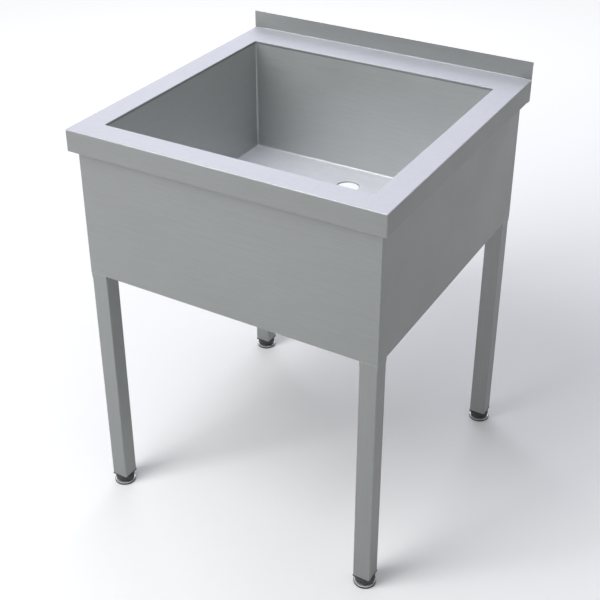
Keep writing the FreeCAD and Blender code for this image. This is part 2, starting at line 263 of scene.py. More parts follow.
def maths(tree, operation, a, b=0.0, clamp=False):
    """The result of one operation on two values."""
    made = put(tree, "ShaderNodeMath", {"operation": operation, "use_clamp": clamp}, {0: a, 1: b})
    return made.outputs[0]


def vectors(tree, operation, a, b=(0, 0, 0)):
    """The result of one operation on two vectors."""
    made = put(tree, "ShaderNodeVectorMath", {"operation": operation}, {0: a, 1: b})
    return made.outputs[0]


def spread(tree, value, low, high, to_low=0.0, to_high=1.0, smooth=False):
    """Maps a value from one range to another, held at its ends."""
    kind = {"interpolation_type": "SMOOTHSTEP" if smooth else "LINEAR"}
    made = put(tree, "ShaderNodeMapRange", kind,
               {"Value": value, "From Min": low, "From Max": high, "To Min": to_low,
                "To Max": to_high})
    return made.outputs["Result"]


def blend_colours(tree, share, a, b):
    """Colour a, with a share of colour b."""
    made = tree.nodes.new("ShaderNodeMix")
    made.data_type = "RGBA"
    sockets = {socket.identifier: socket for socket in made.inputs}
    for key, value in (("Factor_Float", share), ("A_Color", a), ("B_Color", b)):
        if isinstance(value, bpy.types.NodeSocket):
            tree.links.new(value, sockets[key])
        else:
            sockets[key].default_value = value
    return next(socket for socket in made.outputs if socket.identifier == "Result_Color")


def noise(tree, place, scale, detail=4.0, roughness=0.6):
    """Soft noise of about 0 to 1."""
    made = put(tree, "ShaderNodeTexNoise", {}, {"Vector": place, "Scale": scale, "Detail": detail,
                                                "Roughness": roughness})
    return made.outputs[0]


def shared_group(name, inputs, outputs):
    """An empty node group with named sockets, and its two end nodes."""
    tree = bpy.data.node_groups.new(name, "ShaderNodeTree")
    for label, kind, value in inputs:
        socket = tree.interface.new_socket(label, in_out="INPUT", socket_type=kind)
        if value is not None:
            socket.default_value = value
    for label, kind in outputs:
        tree.interface.new_socket(label, in_out="OUTPUT", socket_type=kind)
    return tree, tree.nodes.new("NodeGroupInput"), tree.nodes.new("NodeGroupOutput")


def use_group(tree, group, inputs):
    """Places a shared effect in a material."""
    made = tree.nodes.new("ShaderNodeGroup")
    made.node_tree = group
    for key, value in inputs.items():
        if isinstance(value, bpy.types.NodeSocket):
            tree.links.new(value, made.inputs[key])
        else:
            made.inputs[key].default_value = value
    return made


def new_material(name):
    """A material with its Principled shader, and the outputs that give each point's place."""
    material = bpy.data.materials.new(name)
    material.use_nodes = True
    tree = material.node_tree
    points = tree.nodes.new("ShaderNodeTexCoord").outputs
    return material, tree, tree.nodes["Principled BSDF"], points


def colour(red, green, blue):
    """An opaque colour."""
    return (red, green, blue, 1.0)


# ---------------------------------------------------------------- shared effects

FLOAT, VECTOR = "NodeSocketFloat", "NodeSocketVector"


def make_grain_group():
    """Belt-ground lines: long streaks along one direction, and another on faces that look sideways."""
    tree, start, end = shared_group(
        "belt_grain",
        [("Place", VECTOR, None), ("Facing", VECTOR, None), ("Stretch", VECTOR, (12, 300, 300)),
         ("Side Stretch", VECTOR, (300, 300, 12))],
        [("Lines", FLOAT), ("Scratches", FLOAT)])
    facing = put(tree, "ShaderNodeSeparateXYZ", {}, {0: start.outputs["Facing"]})
    sideways = maths(tree, "GREATER_THAN", maths(tree, "ABSOLUTE", facing.outputs[0]), 0.7)
    plain = vectors(tree, "MULTIPLY", start.outputs["Place"], start.outputs["Stretch"])
    side = vectors(tree, "MULTIPLY", start.outputs["Place"], start.outputs["Side Stretch"])
    pick = tree.nodes.new("ShaderNodeMix")
    pick.data_type = "VECTOR"
    sockets = {socket.identifier: socket for socket in pick.inputs}
    tree.links.new(sideways, sockets["Factor_Float"])
    tree.links.new(plain, sockets["A_Vector"])
    tree.links.new(side, sockets["B_Vector"])
    place = next(socket for socket in pick.outputs if socket.identifier == "Result_Vector")
    broad = noise(tree, place, 1.0, 5.0, 0.7)
    fine = noise(tree, vectors(tree, "ADD", place, (7, 3, 11)), 3.1, 4.0, 0.65)
    lines = maths(tree, "MULTIPLY", maths(tree, "ADD", broad, fine), 0.5)
    tree.links.new(spread(tree, lines, 0.34, 0.66), end.inputs["Lines"])
    rare = noise(tree, vectors(tree, "ADD", place, (31, 17, 5)), 0.45, 2.0, 0.5)
    tree.links.new(spread(tree, rare, 0.66, 0.74), end.inputs["Scratches"])
    return tree


def make_cloud_group():
    """Soft uneven patches, where hands and cloths have wiped the surface."""
    tree, start, end = shared_group(
        "wiped_patches", [("Place", VECTOR, None), ("Scale", FLOAT, 6.0)], [("Patch", FLOAT)])
    broad = noise(tree, start.outputs["Place"], start.outputs["Scale"], 3.0, 0.55)
    tree.links.new(spread(tree, broad, 0.32, 0.68, smooth=True), end.inputs["Patch"])
    return tree


def make_edge_group():
    """A band along the edges of a box, where a folded or cut edge is rubbed bright."""
    tree, start, end = shared_group(
        "rubbed_edges",
        [("Place", VECTOR, None), ("Centre", VECTOR, (0, 0, 0)), ("Half Size", VECTOR, (1, 1, 1)),
         ("Width", FLOAT, 0.004)],
        [("Edge", FLOAT)])
    offset = vectors(tree, "SUBTRACT", start.outputs["Place"], start.outputs["Centre"])
    depth = vectors(tree, "SUBTRACT", start.outputs["Half Size"], vectors(tree, "ABSOLUTE", offset))
    depth = vectors(tree, "ABSOLUTE", depth)
    parts = put(tree, "ShaderNodeSeparateXYZ", {}, {0: depth})
    x, y, z = parts.outputs
    low = maths(tree, "MINIMUM", x, y)
    high = maths(tree, "MAXIMUM", x, y)
    middle = maths(tree, "MAXIMUM", low, maths(tree, "MINIMUM", high, z))
    uneven = noise(tree, start.outputs["Place"], 90.0, 3.0, 0.6)
    reach = maths(tree, "MULTIPLY", start.outputs["Width"], spread(tree, uneven, 0.3, 0.7, 0.5, 1.5))
    share = maths(tree, "DIVIDE", middle, reach)
    tree.links.new(spread(tree, share, 0.0, 1.0, 1.0, 0.0, smooth=True), end.inputs["Edge"])
    return tree


def make_scour_group():
    """Fine crossing marks, where buckets and cloths have scoured a floor."""
    tree, start, end = shared_group("scour_marks", [("Place", VECTOR, None)], [("Marks", FLOAT)])
    total = 0.0
    for number, turn in enumerate((22, -38, 84)):
        turned_place = put(tree, "ShaderNodeMapping", {"vector_type": "POINT"},
                           {"Vector": start.outputs["Place"], "Rotation": (0, 0, radians(turn)),
                            "Location": (number, number * 2, 0)}).outputs[0]
        streaks = noise(tree, vectors(tree, "MULTIPLY", turned_place, (22, 620, 1)), 1.0, 3.0, 0.55)
        total = maths(tree, "MAXIMUM", spread(tree, streaks, 0.6, 0.72), total)
    tree.links.new(total, end.inputs["Marks"])
    return tree


def make_moulded_group():
    """The fine spark-eroded texture of moulded plastic and rubber, with dust low on the foot."""
    tree, start, end = shared_group(
        "moulded_skin", [("Place", VECTOR, None), ("Scale", FLOAT, 1500.0), ("Dust Top", FLOAT, 0.03)],
        [("Grain", FLOAT), ("Dust", FLOAT)])
    fine = noise(tree, start.outputs["Place"], start.outputs["Scale"], 2.0, 0.5)
    tree.links.new(fine, end.inputs["Grain"])
    height = put(tree, "ShaderNodeSeparateXYZ", {}, {0: start.outputs["Place"]}).outputs[2]
    low = spread(tree, maths(tree, "DIVIDE", height, start.outputs["Dust Top"]), 0.0, 1.0, 1.0, 0.0)
    patches = spread(tree, noise(tree, start.outputs["Place"], 160.0, 4.0, 0.65), 0.4, 0.7)
    tree.links.new(maths(tree, "MULTIPLY", low, patches), end.inputs["Dust"])
    return tree


BELT_GRAIN = make_grain_group()
WIPED_PATCHES = make_cloud_group()
RUBBED_EDGES = make_edge_group()
SCOUR_MARKS = make_scour_group()
MOULDED_SKIN = make_moulded_group()


# ---------------------------------------------------------------- materials

METALLIC = 0.55
SCOURED_METALLIC = 0.3
LINE_ROUGHNESS = 0.05
PATCH_ROUGHNESS = 0.03
WORKTOP_TONE = (0.291, 0.301, 0.298)
# The bowl's walls get a lighter copy of the steel tone: painted light against the shade inside the bowl.
BOWL_PAINTED_LIGHT_TONE = (0.46, 0.473, 0.467)
# Faces that look up get these lighter, cooler tones: painted top light.
BOWL_FLOOR_PAINTED_LIGHT_TONE = (0.71, 0.72, 0.76)
RIM_PAINTED_LIGHT_TONE = (0.5, 0.51, 0.55)
APRON_TONE = (0.3, 0.312, 0.306)
DISC_TONE = (0.86, 0.87, 0.88)
DUST_TONE = colour(0.2, 0.19, 0.18)
GROUND_RELIEF = 0.06 * MM
PLATED_RELIEF = 0.04 * MM
MOULDED_RELIEF = 0.08 * MM


def shade(tone, share):
    """A tone made lighter or darker."""
    return colour(*(min(1.0, part * share) for part in tone))


def ground_steel(name, tone, stretch, side_stretch, centre, half, roughness=0.46, edge_width=0.003,
                 painted_top_tone=None):
    """Satin stainless sheet: grain, wiped patches, edges rubbed bright, and faces that look up painted lighter and
    cooler (painted top light), with scour marks.
    """
    material, tree, shader, points = new_material(name)
    place = points["Object"]
    facing = points["Normal"]
    grain = use_group(tree, BELT_GRAIN, {"Place": place, "Facing": facing, "Stretch": stretch,
                                         "Side Stretch": side_stretch})
    patch = use_group(tree, WIPED_PATCHES, {"Place": place, "Scale": 7.0}).outputs[0]
    edge = use_group(tree, RUBBED_EDGES, {"Place": place, "Centre": centre, "Half Size": half,
                                          "Width": edge_width}).outputs[0]
    lines, scratches = grain.outputs
    toned = blend_colours(tree, lines, shade(tone, 0.88), shade(tone, 1.03))
    base = blend_colours(tree, maths(tree, "MULTIPLY", edge, 0.45), toned, shade(tone, 1.3))
    rough = spread(tree, lines, 0.0, 1.0, roughness - LINE_ROUGHNESS, roughness + LINE_ROUGHNESS)
    wiped = spread(tree, patch, 0.0, 1.0, -PATCH_ROUGHNESS, PATCH_ROUGHNESS)
    rough = maths(tree, "ADD", rough, wiped)
    rough = maths(tree, "SUBTRACT", rough, maths(tree, "MULTIPLY", edge, 0.08))
    height = maths(tree, "SUBTRACT", lines, maths(tree, "MULTIPLY", scratches, 1.5))
    # Faces that look up take the lighter tone: painted top light, with real scour marks and a matt, less metallic
    # finish.
    if painted_top_tone:
        upward = put(tree, "ShaderNodeSeparateXYZ", {}, {0: facing}).outputs[2]
        level = spread(tree, upward, 0.5, 0.95)
        painted_top_light_and_matt = maths(tree, "MULTIPLY", level, spread(tree, patch, 0.0, 1.0, 0.9, 1.0))
        marks = use_group(tree, SCOUR_MARKS, {"Place": place}).outputs[0]
        lined = blend_colours(tree, lines, shade(painted_top_tone, 0.93), shade(painted_top_tone, 1.04))
        faint = maths(tree, "MULTIPLY", marks, 0.5)
        marked = blend_colours(tree, faint, lined, shade(painted_top_tone, 0.72))
        base = blend_colours(tree, painted_top_light_and_matt, base, marked)
        rough = maths(tree, "ADD", rough, maths(tree, "MULTIPLY", painted_top_light_and_matt, 0.12))
        height = maths(tree, "SUBTRACT", height, maths(tree, "MULTIPLY", marks, level))
        metallic = spread(tree, painted_top_light_and_matt, 0.0, 1.0, METALLIC, SCOURED_METALLIC)
        tree.links.new(metallic, shader.inputs["Metallic"])
    else:
        shader.inputs["Metallic"].default_value = METALLIC
    tree.links.new(base, shader.inputs["Base Color"])
    tree.links.new(rough, shader.inputs["Roughness"])
    bump = put(tree, "ShaderNodeBump", {}, {"Strength": 0.2, "Distance": GROUND_RELIEF,
                                            "Height": height})
    tree.links.new(bump.outputs[0], shader.inputs["Normal"])
    return material


def plated_zinc(name):
    """Bright zinc plating on the spindles and bushes: fine speckle with a cool and a warm tint."""
    material, tree, shader, points = new_material(name)
    place = points["Object"]
    speckle = noise(tree, place, 420.0, 5.0, 0.7)
    tint = noise(tree, place, 60.0, 2.0, 0.5)
    base = blend_colours(tree, spread(tree, speckle, 0.3, 0.7), colour(0.36, 0.37, 0.39),
                         colour(0.6, 0.61, 0.62))
    warm = blend_colours(tree, spread(tree, tint, 0.4, 0.65, 0.0, 0.35), base,
                         colour(0.55, 0.52, 0.42))
    tree.links.new(warm, shader.inputs["Base Color"])
    tree.links.new(spread(tree, speckle, 0.3, 0.7, 0.28, 0.46), shader.inputs["Roughness"])
    bump = put(tree, "ShaderNodeBump", {}, {"Strength": 0.2, "Distance": PLATED_RELIEF,
                                            "Height": speckle})
    tree.links.new(bump.outputs[0], shader.inputs["Normal"])
    shader.inputs["Metallic"].default_value = 1.0
    return material


def moulded(name, dark, pale, roughness, scale, strength, dust_top):
    """Black moulded plastic or rubber with a fine texture and a little floor dust."""
    material, tree, shader, points = new_material(name)
    skin = use_group(tree, MOULDED_SKIN, {"Place": points["Object"], "Scale": scale,
                                          "Dust Top": dust_top})
    grain, dust = skin.outputs
    tone = blend_colours(tree, spread(tree, grain, 0.35, 0.65), dark, pale)
    dusty = blend_colours(tree, maths(tree, "MULTIPLY", dust, 0.14), tone, DUST_TONE)
    tree.links.new(dusty, shader.inputs["Base Color"])
    rough = spread(tree, grain, 0.3, 0.7, roughness - LINE_ROUGHNESS, roughness + LINE_ROUGHNESS)
    tree.links.new(maths(tree, "ADD", rough, maths(tree, "MULTIPLY", dust, 0.2)),
                   shader.inputs["Roughness"])
    bump = put(tree, "ShaderNodeBump", {}, {"Strength": strength, "Distance": MOULDED_RELIEF,
                                            "Height": grain})
    tree.links.new(bump.outputs[0], shader.inputs["Normal"])
    return material


# How closely the grain repeats along each axis: few times along a line, many times across it.
ALONG_X = (11, 420, 420)
ALONG_Y = (420, 11, 420)
ALONG_Z = (420, 420, 11)
NO_GRAIN = (200, 200, 200)
worktop_centre = (0, 0, (RIM + SKIRT_BOTTOM) / 2)
worktop_half = (HALF, HALF, (RIM - SKIRT_BOTTOM) / 2)
satin_worktop = ground_steel("satin_worktop", WORKTOP_TONE, ALONG_X, ALONG_Z, worktop_centre,
                             worktop_half, 0.5, painted_top_tone=RIM_PAINTED_LIGHT_TONE)
bowl_middle = (OPENING_FRONT + OPENING_REAR) / 2
bowl_centre = (0, bowl_middle, (RIM + FLOOR) / 2)
bowl_half = (OPENING_X, OPENING_REAR - bowl_middle, (RIM - FLOOR) / 2)
satin_bowl = ground_steel("satin_bowl", BOWL_PAINTED_LIGHT_TONE, ALONG_X, ALONG_Y, bowl_centre, bowl_half,
                          edge_width=0.006, painted_top_tone=BOWL_FLOOR_PAINTED_LIGHT_TONE)
apron_centre = (0, 0, (RIM + APRON_BOTTOM) / 2)
apron_half = (APRON_OUT, APRON_OUT, (RIM - APRON_BOTTOM) / 2)
satin_apron = ground_steel("satin_apron", APRON_TONE, ALONG_X, ALONG_Y, apron_centre, apron_half)
leg_centre = (0, 0, (leg_low.z + leg_high.z) / 2)
leg_half = (APRON_OUT - APRON_SHEET, APRON_OUT - APRON_SHEET, (leg_high.z - leg_low.z) / 2)
satin_leg = ground_steel("satin_leg", APRON_TONE, ALONG_Z, ALONG_Z, leg_centre, leg_half)
pressed_disc = ground_steel("pressed_disc", DISC_TONE, NO_GRAIN, NO_GRAIN, (0, 0, 0), (1, 1, 1), 0.35)
zinc_plate = plated_zinc("zinc_plate")
black_nylon = moulded("black_nylon", colour(0.017, 0.017, 0.019), colour(0.03, 0.03, 0.033),
                        0.4, 2600.0, 0.22, 0.02)
black_rubber = moulded("black_rubber", colour(0.013, 0.013, 0.013), colour(0.028, 0.027, 0.026),
                       0.7, 1500.0, 0.4, 0.006)


# ---------------------------------------------------------------- sheet metal

def make_worktop():
    """Rim, skirt with its return, upstand, and lip round the opening, folded from one sheet."""
    back = HALF - TOP_SHEET
    bm = flat_sheet((-HALF, -HALF, RIM), (HALF, back, RIM))
    for x in (-OPENING_X - LIP_FIELD, OPENING_X + LIP_FIELD):
        cut(bm, (x, 0, 0), (1, 0, 0))
    for y in (OPENING_FRONT - LIP_FIELD, OPENING_REAR + LIP_FIELD):
        cut(bm, (0, y, 0), (0, 1, 0))
    middle = faces_where(bm, lambda p: abs(p.x) < OPENING_X and OPENING_FRONT < p.y < OPENING_REAR)
    bmesh.ops.delete(bm, geom=middle, context="FACES")
    fold(bm, edges_where(bm, lambda p: near(p.y, back)), (0, 0, top_high.z - RIM))
    skirt_line = edges_where(bm, lambda p: near(p.z, RIM)
                             and (near(abs(p.x), HALF) or near(p.y, -HALF)))
    fold(bm, [edge for edge in skirt_line if edge.is_boundary], (0, 0, SKIRT_BOTTOM - RIM))
    return_end = HALF - TOP_SHEET - SKIRT_RETURN
    cut(bm, (0, return_end, 0), (0, 1, 0), faces=faces_where(bm, lambda p: near(abs(p.x), HALF)))
    lower = [edge for edge in edges_where(bm, lambda p: near(p.z, SKIRT_BOTTOM))
             if max(vert.co.y for vert in edge.verts) < return_end + NEAR]
    for vert in fold(bm, lower):
        if near(abs(vert.co.x), HALF):
            vert.co.x -= SKIRT_RETURN * (1 if vert.co.x > 0 else -1)
        if near(vert.co.y, -HALF):
            vert.co.y += SKIRT_RETURN
    face_like(bm, Vector((0, 0, 1)))

    def on_outline(p):
        """Whether a point is on the worktop's outline."""
        return near(abs(p.x), HALF) or near(p.y, -HALF) or near(p.y, back)

    bends = [edge for edge in edges_where(bm, on_outline)
             if not edge.is_boundary and edge.calc_face_angle(0) > BEND_ANGLE]
    round_edges(bm, bends, TOP_BEND)
    strips = edges_where(bm, lambda p: near(abs(p.x), HALF) and near(p.y, back)
                         and p.z < RIM - TOP_BEND + NEAR)
    fold(bm, [edge for edge in strips if edge.is_boundary], (0, TOP_SHEET, 0))
    join(bm, make_lip())
    ring = [edge for edge in edges_where(bm, lambda p: near(p.z, RIM)) if edge.is_boundary]
    bmesh.ops.bridge_loops(bm, edges=ring)
    face_like(bm, Vector((0, 0, 1)))
    piece("worktop_sheet", bm, satin_worktop, "frame", ["worktop"], sheet=TOP_SHEET)


def make_lip():
    """The edge of the opening, bent down over the bowl's walls with rounded corners."""
    bm = flat_sheet((-OPENING_X - LIP_BEND, OPENING_FRONT - LIP_BEND, RIM),
                    (OPENING_X + LIP_BEND, OPENING_REAR + LIP_BEND, RIM))
    round_corners(bm, bm.verts[:], BOWL_BEND + LIP_BEND)
    opening = bm.faces[:][0]
    for step in range(BEND_STEPS):
        start = step / BEND_STEPS * pi / 2
        end = (step + 1) / BEND_STEPS * pi / 2
        bmesh.ops.inset_individual(bm, faces=[opening], thickness=LIP_BEND * (sin(end) - sin(start)),
                                   depth=LIP_BEND * (cos(end) - cos(start)), use_even_offset=True)
    edge_line = opening.edges[:]
    bmesh.ops.delete(bm, geom=[opening], context="FACES_ONLY")
    fold(bm, edge_line, (0, 0, LIP_BEND - LIP_DEPTH))
    return bm


def make_rear_rail():
    """The folded channel under the worktop's rear edge."""
    low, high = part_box("rear_rail")
    bm = box_mesh(low, high)
    open_sides = faces_where(bm, lambda p: near(p.y, low.y) or near(abs(p.x), high.x))
    bmesh.ops.delete(bm, geom=open_sides, context="FACES")
    round_edges(bm, [edge for edge in bm.edges if not edge.is_boundary], TOP_BEND)
    face_like(bm, Vector((0, 1, 0)))
    piece("rear_channel", bm, satin_worktop, "frame", ["rear_rail"], sheet=TOP_SHEET)


def make_bowl():
    """The bowl: four walls and a floor with rounded bends, and the plunged drain hole."""
    bm = box_mesh((-OPENING_X, OPENING_FRONT, FLOOR), (OPENING_X, OPENING_REAR, LIP_BOTTOM))
    bmesh.ops.delete(bm, geom=faces_where(bm, lambda p: near(p.z, LIP_BOTTOM)), context="FACES")
    round_edges(bm, [edge for edge in bm.edges if not edge.is_boundary], BOWL_BEND, 6)
    half = DRAIN_RADIUS + DRAIN_FIELD
    for x in (DRAIN_PLACE.x - half, DRAIN_PLACE.x + half):
        cut(bm, (x, 0, 0), (1, 0, 0), faces=faces_where(bm, lambda p: near(p.z, FLOOR)))
    for y in (DRAIN_PLACE.y - half, DRAIN_PLACE.y + half):
        cut(bm, (0, y, 0), (0, 1, 0), faces=faces_where(bm, lambda p: near(p.z, FLOOR)))
    make_drain(bm, half)
    face_like(bm, Vector((0, 0, -1)))
    bmesh.ops.reverse_faces(bm, faces=bm.faces)
    piece("bowl_shell", bm, satin_bowl, "frame", ["bowl"], sheet=BOWL_SHEET)


def make_drain(bm, half):
    """Opens the drain hole in a square of the floor, and draws its rolled collar down."""
    centre = Vector((DRAIN_PLACE.x, DRAIN_PLACE.y, FLOOR))
    square = faces_where(bm, lambda p: near(p.z, FLOOR) and (p - centre).length < half)
    outline = [edge for face in square for edge in face.edges]
    bmesh.ops.delete(bm, geom=square, context="FACES_ONLY")
    bmesh.ops.subdivide_edges(bm, edges=outline, cuts=DRAIN_STEPS // 4 - 1)
    outline = edges_where(bm, lambda p: near(p.z, FLOOR) and abs(p.x - centre.x) < half + NEAR
                          and abs(p.y - centre.y) < half + NEAR)
    outline = [edge for edge in outline if edge.is_boundary]
    ring = bmesh.ops.create_circle(bm, cap_ends=False, radius=DRAIN_RADIUS + DRAIN_ROLL,
                                   segments=DRAIN_STEPS, matrix=Matrix.Translation(centre))["verts"]
    circle = [edge for edge in bm.edges if all(vert in ring for vert in edge.verts)]
    bmesh.ops.bridge_loops(bm, edges=outline + circle)
    profile = []
    for step in range(1, BEND_STEPS + 1):
        turn = step / BEND_STEPS * pi / 2
        profile.append((DRAIN_RADIUS + DRAIN_ROLL * (1 - sin(turn)), DRAIN_ROLL * (1 - cos(turn))))
    profile.append((DRAIN_RADIUS, DRAIN_DEPTH))
    for radius, depth in profile:
        verts = fold(bm, circle, (0, 0, 0))
        for vert in verts:
            out = Vector((vert.co.x - centre.x, vert.co.y - centre.y, 0)).normalized()
            vert.co = centre + out * radius - Vector((0, 0, depth))
        circle = [edge for edge in bm.edges if all(vert in verts for vert in edge.verts)]


def make_apron(side, turn):
    """One panel of the casing: cut from a ring with rounded corners, with its bottom folded in."""
    reach = APRON_OUT
    bm = box_mesh((-reach, -reach, APRON_BOTTOM), (reach, reach, bowl_high.z))
    level_faces = faces_where(bm, lambda p: near(p.z, APRON_BOTTOM) or near(p.z, bowl_high.z))
    bmesh.ops.delete(bm, geom=level_faces, context="FACES")
    uprights = [edge for edge in bm.edges if near(edge.verts[0].co.x, edge.verts[1].co.x)
                and near(edge.verts[0].co.y, edge.verts[1].co.y)]
    round_edges(bm, uprights, APRON_CORNER)
    cut(bm, (0, 0, 0), (1, 1, 0), clear=True)
    cut(bm, (0, 0, 0), (-1, 1, 0), clear=True)
    return_end = reach - APRON_SHEET - LEG_SIDE - RETURN_GAP
    for x in (-return_end, return_end):
        cut(bm, (x, 0, 0), (1, 0, 0))
    lower = edges_where(bm, lambda p: near(p.z, APRON_BOTTOM) and abs(p.x) < return_end + NEAR)
    fold(bm, lower, (0, APRON_RETURN, 0))
    round_edges(bm, lower, APRON_BEND)
    face_like(bm, Vector((0, -1, 0)))
    bmesh.ops.rotate(bm, verts=bm.verts, cent=(0, 0, 0), matrix=Matrix.Rotation(radians(turn), 3, "Z"))
    piece(f"{side}_panel", bm, satin_apron, "frame", [f"{side}_apron"],
          sheet=APRON_SHEET)


def make_leg(corner):
    """A square tube with rounded corners."""
    low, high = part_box(f"{corner}_leg")
    bm = box_mesh(low, high)
    ends = faces_where(bm, lambda p: near(p.z, low.z) or near(p.z, high.z))
    bmesh.ops.delete(bm, geom=ends, context="FACES")
    round_edges(bm, [edge for edge in bm.edges if not edge.is_boundary], LEG_CORNER, 5)
    bmesh.ops.recalc_face_normals(bm, faces=bm.faces)
    piece(f"{corner}_tube", bm, satin_leg, "frame", [f"{corner}_leg"], sheet=LEG_WALL)


def make_leg_weld(corner):
    """The ground weld that blends the aprons' bottom edges into the leg."""
    low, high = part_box(f"{corner}_leg")
    middle = (low + high) / 2
    side = Vector((1 if middle.x > 0 else -1, 1 if middle.y > 0 else -1, 0))
    inner = middle - side * (LEG_SIDE / 2 - LEG_WALL / 2)
    outer = side * APRON_OUT
    corner_low = Vector((min(inner.x, outer.x), min(inner.y, outer.y), APRON_BOTTOM - WELD_HEIGHT))
    corner_high = Vector((max(inner.x, outer.x), max(inner.y, outer.y),
                          APRON_BOTTOM + APRON_SHEET / 2))
    bm = box_mesh(corner_low, corner_high)
    outer_edge = [edge for edge in bm.edges if all(
        near(abs(v.co.x), APRON_OUT) and near(abs(v.co.y), APRON_OUT) for v in edge.verts)]
    round_edges(bm, outer_edge, LEG_CORNER, 5)
    for vert in bm.verts:
        if near(vert.co.z, corner_low.z):
            for axis in (0, 1):
                flush = APRON_OUT - APRON_SHEET * WELD_TAPER
                vert.co[axis] = max(-flush, min(flush, vert.co[axis]))
    bmesh.ops.recalc_face_normals(bm, faces=bm.faces)
    piece(f"{corner}_leg_weld", bm, satin_leg, "frame")


# ---------------------------------------------------------------- levelling feet

GRIP_FLUTES = 18
GRIP_STEPS = 8
FLUTE_DEPTH = 0.7 * MM
GRIP_PROFILE = ((0.90, 0.0), (0.955, 0.03), (0.99, 0.09), (1.0, 0.16), (1.0, 0.84), (0.99, 0.91),
                (0.955, 0.97), (0.90, 1.0))
THREAD_PITCH = 1.5 * MM
THREAD_STEPS = 16
THREAD_PROFILE = (0.04, 0.42, 0.58, 0.96)
CORE_RADIUS = 4.1 * MM
CREST_RADIUS = 4.95 * MM
TIP_HEIGHT = CORE_RADIUS / 4
TIP_RADIUS = CORE_RADIUS * 0.8
PIVOT_RADIUS = 4 * MM
RIVET_RADIUS = 5.5 * MM
RIVET_EDGE = 0.4 * MM
RIVET_TOP = 2.9 * MM
SCREW_STEPS = 32
NECK_FLATS = 17 * MM
DISC_BORE = 4.05 * MM
FOOT_STEPS = 96
PAD_GROOVES = (8 * MM, 13 * MM, 18 * MM)
GROOVE_DEPTH = 0.5 * MM
GROOVE_TOP = 0.6 * MM
GROOVE_MOUTH = 1 * MM
RECESS_RADIUS = 6 * MM
RECESS_FLOOR = 1.7 * MM
FLANGE_CORNER = 1.5 * MM
SPINDLE_HOLE = 5.4 * MM
BUSH_HOLE = 9.4 * MM
RIBS = 4
RIB_STEP = 6 * MM
RIB_WIDTH = 1.2 * MM
RIB_HEIGHT = 0.6 * MM
TUBE_GAP = 0.1 * MM
OVERLAP = 0.3 * MM
SOFT_EDGE = 0.4 * MM
grip_low, grip_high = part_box("front_left_foot_grip")
GRIP_RADIUS = (grip_high.x - grip_low.x) / 2


def foot_place(corner):
    """The point on the floor under a foot."""
    low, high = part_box(f"{corner}_foot_pad")
    return Vector(((low.x + high.x) / 2, (low.y + high.y) / 2, 0))


def square_ring(half, corner_radius, hole_radius, low, high):
    """A square plate or collar with rounded corners and a round hole."""
    bm = flat_sheet((-half, -half, low), (half, half, low))
    round_corners(bm, bm.verts[:], corner_radius)
    outline = bm.edges[:]
    bmesh.ops.delete(bm, geom=bm.faces[:], context="FACES_ONLY")
    made = bmesh.ops.create_circle(bm, cap_ends=False, radius=hole_radius, segments=len(outline),
                                   matrix=Matrix.Translation((0, 0, low)))["verts"]
    hole = [edge for edge in bm.edges if all(vert in made for vert in edge.verts)]
    bmesh.ops.bridge_loops(bm, edges=outline + hole)
    raised = bmesh.ops.extrude_face_region(bm, geom=bm.faces[:])["geom"]
    top = [part for part in raised if isinstance(part, bmesh.types.BMVert)]
    bmesh.ops.translate(bm, vec=(0, 0, high - low), verts=top)
    bmesh.ops.recalc_face_normals(bm, faces=bm.faces)
    return bm


def make_insert(corner):
    """The plug in the tube's end: a square flange below, and a ribbed collar inside the tube."""
    low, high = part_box(f"{corner}_leg_insert")
    half = (high.x - low.x) / 2
    inside = LEG_SIDE / 2 - LEG_WALL
    bm = square_ring(half, FLANGE_CORNER, SPINDLE_HOLE, low.z, leg_low.z)
    join(bm, square_ring(inside - RIB_HEIGHT, FLANGE_CORNER, BUSH_HOLE, leg_low.z - OVERLAP, high.z))
    for number in range(RIBS):
        level = leg_low.z + (number + 1) * RIB_STEP
        join(bm, square_ring(inside - TUBE_GAP, FLANGE_CORNER, BUSH_HOLE + OVERLAP, level,
                             level + RIB_WIDTH))
    bmesh.ops.translate(bm, verts=bm.verts, vec=foot_place(corner))
    piece(f"{corner}_plug", bm, black_nylon, "frame", [f"{corner}_leg_insert"],
          edge=SOFT_EDGE)


def make_thread(low, high, root, crest):
    """One helical ridge, closed at both ends and sunk a little into the core."""
    bm = bmesh.new()
    heights = [share * THREAD_PITCH for share in THREAD_PROFILE]
    outline = [(root - OVERLAP, heights[0]), (root, heights[0]), (crest, heights[1]),
               (crest, heights[2]), (root, heights[3]), (root - OVERLAP, heights[3])]
    verts = [bm.verts.new((radius, 0, low + height)) for radius, height in outline]
    profile = bm.faces.new(verts)
    turns = int((high - low) / THREAD_PITCH) - 1
    bmesh.ops.spin(bm, geom=[profile] + profile.edges[:] + verts, cent=(0, 0, 0), axis=(0, 0, 1),
                   dvec=(0, 0, THREAD_PITCH / THREAD_STEPS), angle=2 * pi * turns,
                   steps=turns * THREAD_STEPS, use_merge=False)
    bmesh.ops.recalc_face_normals(bm, faces=bm.faces)
    return bm


